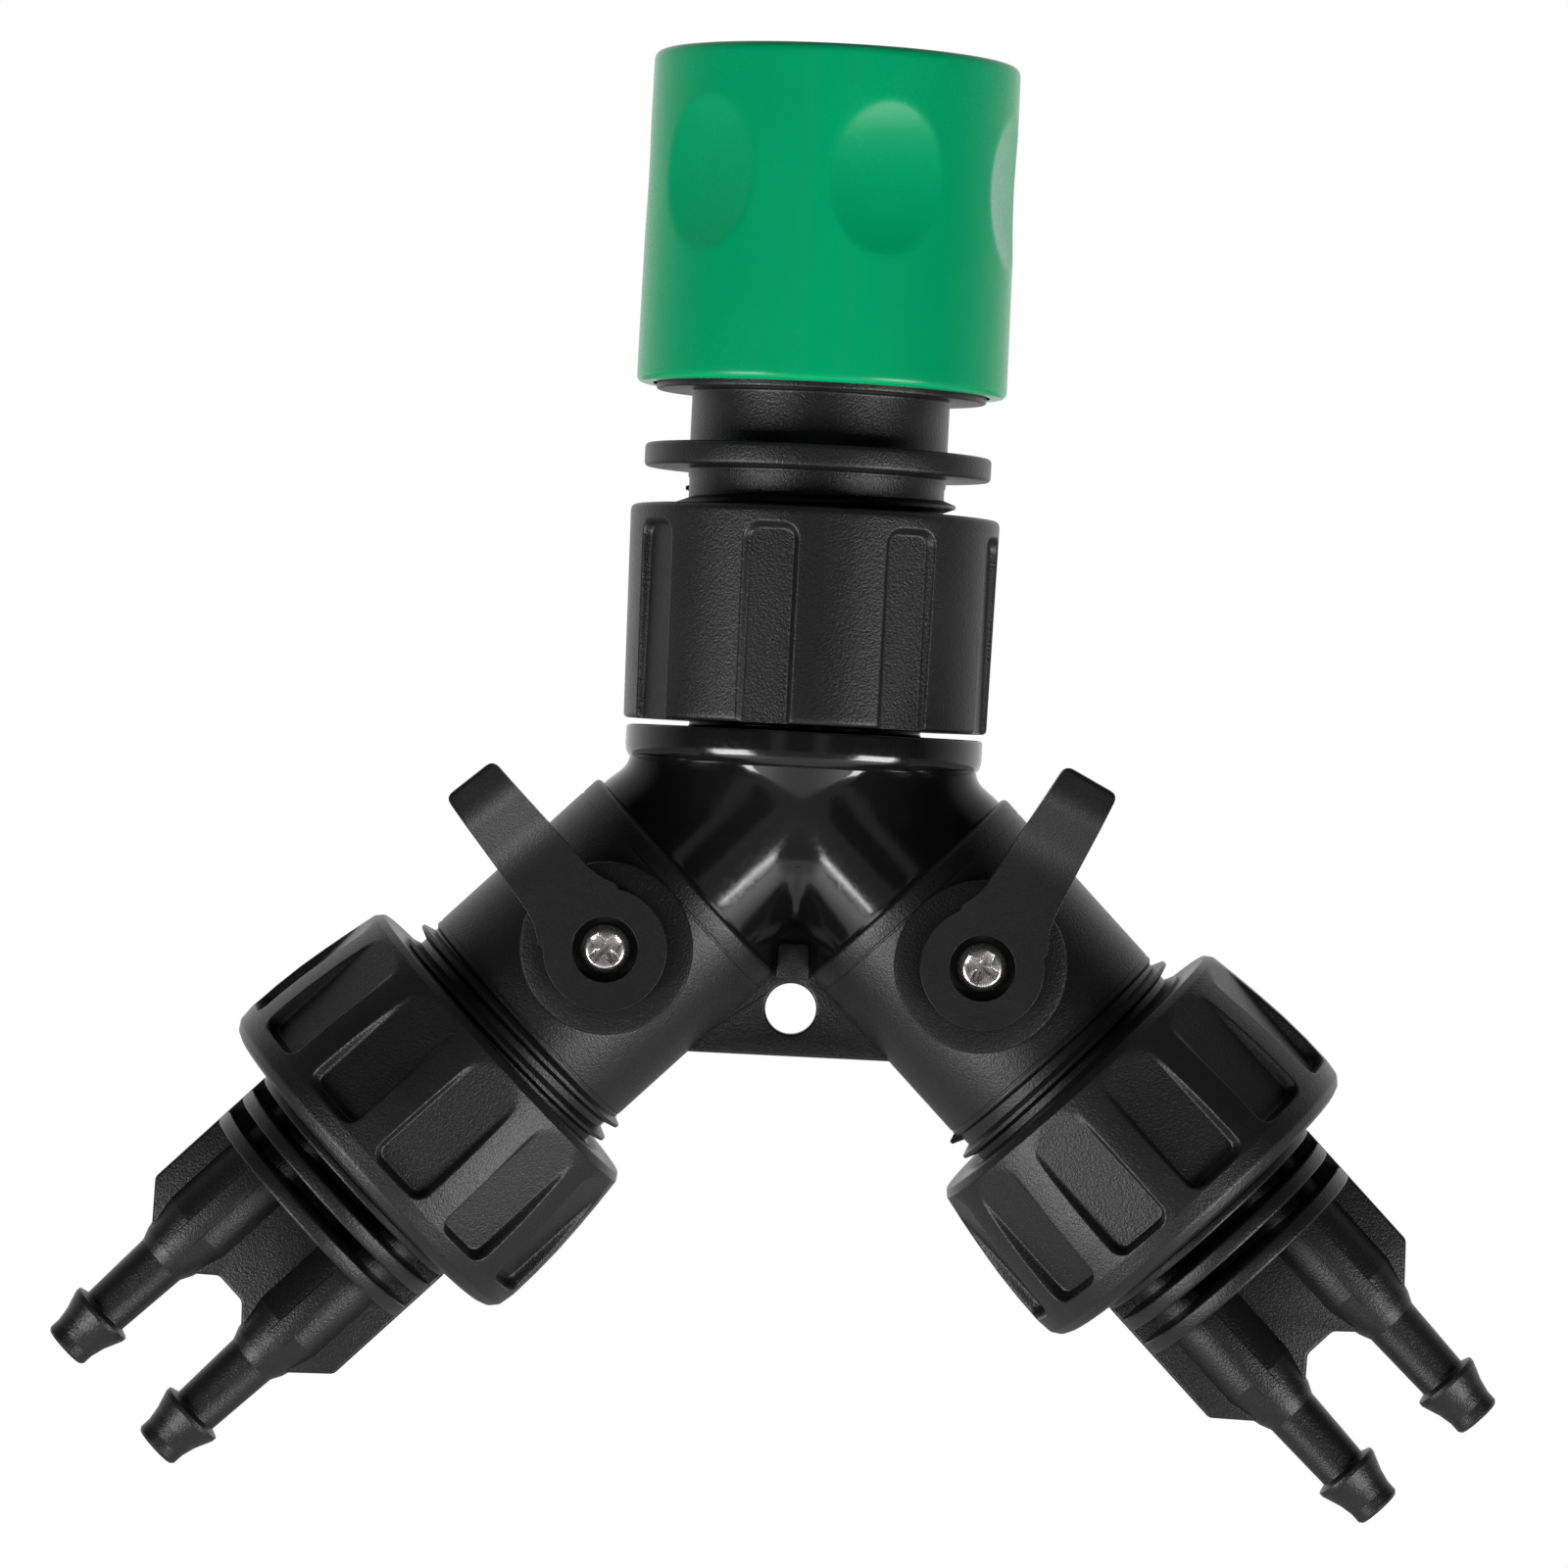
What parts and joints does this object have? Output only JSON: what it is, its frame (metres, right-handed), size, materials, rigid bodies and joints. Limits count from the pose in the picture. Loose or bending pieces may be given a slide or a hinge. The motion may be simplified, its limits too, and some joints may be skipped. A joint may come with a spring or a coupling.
{
  "type": "hose splitter",
  "caption": "Forked garden hose splitter with a push-fit hose socket, two lever ball valves and union nuts holding twin-barb drip hose adapters.",
  "frame": {"origin": "centre of the hose socket bore's mouth, on the inlet axis", "axes": "+Z out of the inlet socket toward the tap, the two arms drop at 45 degrees toward -X and +X, the valve levers face -Y"},
  "size_m": [0.1368, 0.0404, 0.1356],
  "materials": {
    "black_plastic": "fine moulded grain",
    "green_plastic": "gloss",
    "steel": "plated",
    "black_rubber": "smooth",
    "white_acetal": "semi-gloss",
    "white_ptfe": "waxy"
  },
  "bodies": {
    "splitter": {"splitter_body": "black_plastic", "inlet_washer": "black_rubber", "left_inner_seat": "white_ptfe", "left_outer_seat": "white_ptfe", "left_seat_retainer": "black_plastic", "right_inner_seat": "white_ptfe", "right_outer_seat": "white_ptfe", "right_seat_retainer": "black_plastic"},
    "inlet_nut": {"inlet_nut": "black_plastic"},
    "connector": {"connector_body": "black_plastic", "nozzle_seal": "black_rubber", "claw_cap": "black_plastic", "locking_claws": "white_acetal", "sleeve_spring": "steel"},
    "sleeve": {"release_sleeve": "green_plastic"},
    "left_valve": {"left_ball": "white_acetal", "left_stem": "white_acetal", "left_stem_ring": "black_rubber", "left_lever": "black_plastic", "left_lever_screw": "steel"},
    "left_adapter": {"left_adapter": "black_plastic", "left_outlet_washer": "black_rubber"},
    "left_nut": {"left_outlet_nut": "black_plastic"},
    "right_valve": {"right_ball": "white_acetal", "right_stem": "white_acetal", "right_stem_ring": "black_rubber", "right_lever": "black_plastic", "right_lever_screw": "steel"},
    "right_adapter": {"right_adapter": "black_plastic", "right_outlet_washer": "black_rubber"},
    "right_nut": {"right_outlet_nut": "black_plastic"}
  },
  "joints": [
    {"name": "inlet_nut_turn", "type": "hinge", "parent": "splitter", "child": "inlet_nut", "pos_m": [0, 0, -0.0437], "axis": [0, 0, -1], "range_deg": [0, 1440]},
    {"name": "connector_lift", "type": "slide", "parent": "splitter", "child": "connector", "axis": [0, 0, 1], "range_m": [0, 0.00726]},
    {"name": "sleeve_pull", "type": "slide", "parent": "connector", "child": "sleeve", "axis": [0, 0, -1], "range_m": [0, 0.004], "stiffness_N_per_m": 1500, "springref_m": -0.004, "deforming": ["sleeve_spring"]},
    {"name": "left_valve_turn", "type": "hinge", "parent": "splitter", "child": "left_valve", "pos_m": [-0.01739, 0, -0.07539], "axis": [0, -1, 0], "range_deg": [-16, 94]},
    {"name": "left_adapter_slide", "type": "slide", "parent": "splitter", "child": "left_adapter", "axis": [-0.7071, 0, -0.7071], "range_m": [0, 0.00726]},
    {"name": "left_nut_turn", "type": "hinge", "parent": "left_adapter", "child": "left_nut", "pos_m": [-0.03323, 0, -0.09123], "axis": [-0.7071, 0, -0.7071], "range_deg": [0, 1440]},
    {"name": "right_valve_turn", "type": "hinge", "parent": "splitter", "child": "right_valve", "pos_m": [0.01739, 0, -0.07539], "axis": [0, 1, 0], "range_deg": [-2, 108]},
    {"name": "right_adapter_slide", "type": "slide", "parent": "splitter", "child": "right_adapter", "axis": [0.7071, 0, -0.7071], "range_m": [0, 0.00726]},
    {"name": "right_nut_turn", "type": "hinge", "parent": "right_adapter", "child": "right_nut", "pos_m": [0.03323, 0, -0.09123], "axis": [0.7071, 0, -0.7071], "range_deg": [0, 1440]}
  ],
  "couplings": [
    {"joint": "inlet_nut_turn", "follows": "connector_lift", "rad_per_m": 3463.7},
    {"joint": "left_nut_turn", "follows": "left_adapter_slide", "rad_per_m": 3463.7},
    {"joint": "right_nut_turn", "follows": "right_adapter_slide", "rad_per_m": 3463.7}
  ]
}
